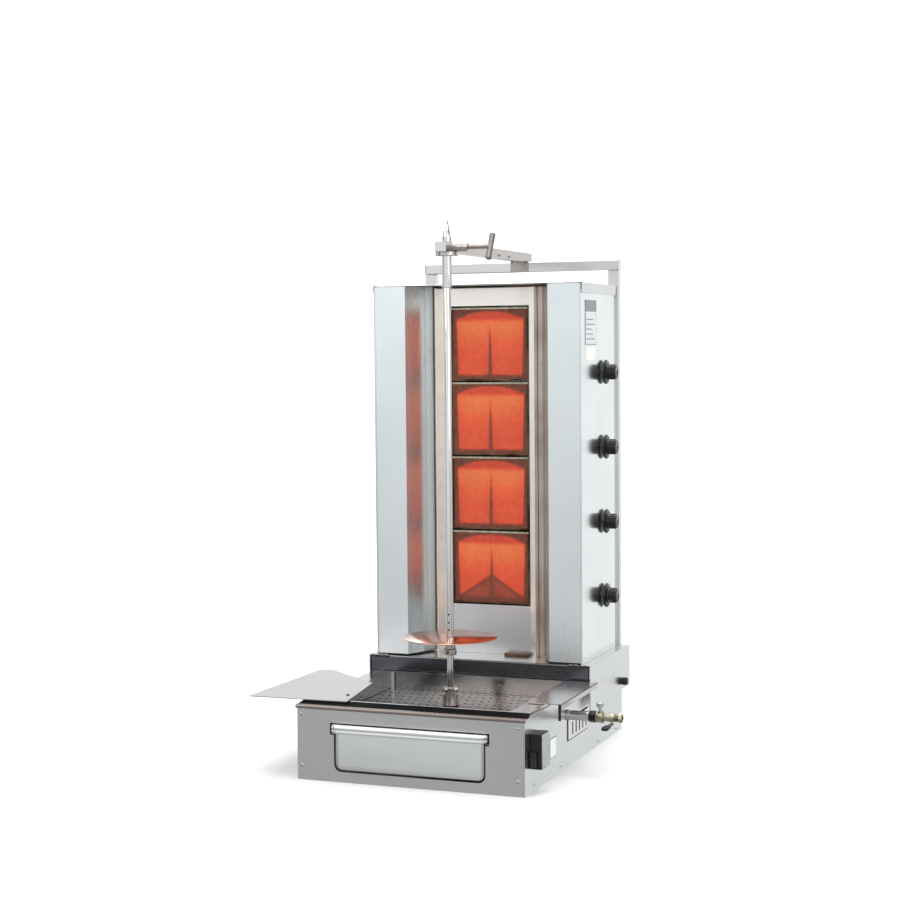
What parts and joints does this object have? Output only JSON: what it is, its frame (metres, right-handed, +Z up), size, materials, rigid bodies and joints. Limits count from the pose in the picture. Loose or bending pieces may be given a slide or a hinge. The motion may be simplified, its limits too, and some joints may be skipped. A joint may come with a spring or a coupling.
{
  "type": "vertical rotisserie broiler",
  "caption": "Upright gas broiler with a turning vertical spit, radiant ceramic burners, wind guards, a drip tray, a drawer pan and side plates, for roasting stacked meat.",
  "frame": {"origin": "centre of the base's underside, on the surface it stands on", "axes": "+Z up, along the spit; the drawer and the burners face -Y; +X is the side with the knobs and the gas inlet"},
  "size_m": [0.758, 0.805, 1.193],
  "materials": {
    "steel": "satin stainless sheet",
    "dull_steel": "dull mill finish",
    "polished": "polished stainless",
    "dark_steel": "dark gloss",
    "bright_trim": "bright polished, warm from the burners",
    "burner": "glowing ceramic behind wire mesh",
    "brass": "dull plated brass",
    "black": "satin black",
    "motor": "painted grey"
  },
  "bodies": {
    "body": {"base_floor": "dull_steel", "base_left_side": "steel", "base_rear_panel": "steel", "base_right_side": "steel", "burner_1": "burner", "burner_2": "burner", "burner_3": "burner", "burner_4": "burner", "column_left_side": "steel", "column_rear_panel": "steel", "column_right_side": "steel", "drip_tray": "polished", "frame_bracket": "dull_steel", "frame_top_rail": "steel", "front_ledge": "dark_steel", "front_panel": "steel", "gas_cock": "brass", "gas_inlet": "steel", "gas_manifold": "brass", "gearmotor": "motor", "left_drawer_runner": "dull_steel", "left_frame_leg": "steel", "left_trim": "bright_trim", "lower_front_plate": "steel", "motor_switch_box": "black", "pedestal_front_wall": "dark_steel", "pedestal_left_cheek": "steel", "pedestal_right_cheek": "steel", "pedestal_top": "steel", "right_drawer_runner": "dull_steel", "right_frame_leg": "steel", "right_trim": "bright_trim", "top_arm": "steel", "top_cap": "steel", "upper_front_plate": "bright_trim"},
    "drawer": {"drawer_pan": "polished"},
    "spit": {"drive_cup": "polished", "spit_rod": "polished", "disc_hub": "dark_steel", "meat_disc": "polished"},
    "sleeve": {"guide_sleeve": "polished"},
    "sleeve_clamp": {"clamp_screw": "steel"},
    "left_wing_guard": {"left_wing": "steel"},
    "right_wing_guard": {"right_wing": "steel"},
    "left_plate": {"left_side_plate": "steel"},
    "right_plate": {"right_side_plate": "steel"},
    "cock_lever": {"gas_cock_lever": "black"},
    "switch_rocker": {"motor_switch_rocker": "black"},
    "clamp_knob": {"pedestal_clamp_knob": "black"},
    "spindle_1": {"valve_spindle_1": "steel"},
    "knob_1": {"burner_knob_1": "black"},
    "spindle_2": {"valve_spindle_2": "steel"},
    "knob_2": {"burner_knob_2": "black"},
    "spindle_3": {"valve_spindle_3": "steel"},
    "knob_3": {"burner_knob_3": "black"},
    "spindle_4": {"valve_spindle_4": "steel"},
    "knob_4": {"burner_knob_4": "black"}
  },
  "joints": [
    {"name": "spit_spin", "type": "hinge", "parent": "body", "child": "spit", "pos_m": [0, -0.1135, 0.2], "axis": [0, 0, 1], "continuous": true},
    {"name": "drawer_slide", "type": "slide", "parent": "body", "child": "drawer", "axis": [0, -1, 0], "range_m": [0, 0.3]},
    {"name": "sleeve_lift", "type": "slide", "parent": "body", "child": "sleeve", "axis": [0, 0, 1], "range_m": [0, 0.06]},
    {"name": "sleeve_clamp_turn", "type": "hinge", "parent": "body", "child": "sleeve_clamp", "pos_m": [0.05, -0.1135, 1.1318], "axis": [1, 0, 0], "range_deg": [-180, 180]},
    {"name": "left_wing_swing", "type": "hinge", "parent": "body", "child": "left_wing_guard", "pos_m": [-0.2475, 0.0616, 0.6], "axis": [0, 0, -1], "range_deg": [0, 110]},
    {"name": "right_wing_swing", "type": "hinge", "parent": "body", "child": "right_wing_guard", "pos_m": [0.2475, 0.0616, 0.6], "axis": [0, 0, 1], "range_deg": [0, 110]},
    {"name": "left_plate_slide", "type": "slide", "parent": "body", "child": "left_plate", "axis": [1, 0, 0], "range_m": [0, 0.08]},
    {"name": "right_plate_slide", "type": "slide", "parent": "body", "child": "right_plate", "axis": [1, 0, 0], "range_m": [0, 0.05]},
    {"name": "gas_cock_turn", "type": "hinge", "parent": "body", "child": "cock_lever", "pos_m": [0.3545, -0.07, 0.1025], "axis": [0, 0, 1], "range_deg": [0, 90]},
    {"name": "switch_rock", "type": "hinge", "parent": "body", "child": "switch_rocker", "pos_m": [0.264, -0.3278, 0.072], "axis": [1, 0, 0], "range_deg": [-5, 5]},
    {"name": "clamp_knob_turn", "type": "hinge", "parent": "body", "child": "clamp_knob", "pos_m": [0.269, 0.314, 0.1236], "axis": [1, 0, 0], "continuous": true},
    {"name": "knob_1_turn", "type": "hinge", "parent": "body", "child": "spindle_1", "pos_m": [0.2475, 0.244, 0.3365], "axis": [-1, 0, 0], "range_deg": [-180, 0]},
    {"name": "knob_1_push", "type": "slide", "parent": "spindle_1", "child": "knob_1", "axis": [-1, 0, 0], "range_m": [0, 0.003], "stiffness_N_per_m": 400},
    {"name": "knob_2_turn", "type": "hinge", "parent": "body", "child": "spindle_2", "pos_m": [0.2475, 0.244, 0.5095], "axis": [-1, 0, 0], "range_deg": [-180, 0]},
    {"name": "knob_2_push", "type": "slide", "parent": "spindle_2", "child": "knob_2", "axis": [-1, 0, 0], "range_m": [0, 0.003], "stiffness_N_per_m": 400},
    {"name": "knob_3_turn", "type": "hinge", "parent": "body", "child": "spindle_3", "pos_m": [0.2475, 0.244, 0.6825], "axis": [-1, 0, 0], "range_deg": [-180, 0]},
    {"name": "knob_3_push", "type": "slide", "parent": "spindle_3", "child": "knob_3", "axis": [-1, 0, 0], "range_m": [0, 0.003], "stiffness_N_per_m": 400},
    {"name": "knob_4_turn", "type": "hinge", "parent": "body", "child": "spindle_4", "pos_m": [0.2475, 0.244, 0.8555], "axis": [-1, 0, 0], "range_deg": [-180, 0]},
    {"name": "knob_4_push", "type": "slide", "parent": "spindle_4", "child": "knob_4", "axis": [-1, 0, 0], "range_m": [0, 0.003], "stiffness_N_per_m": 400}
  ]
}
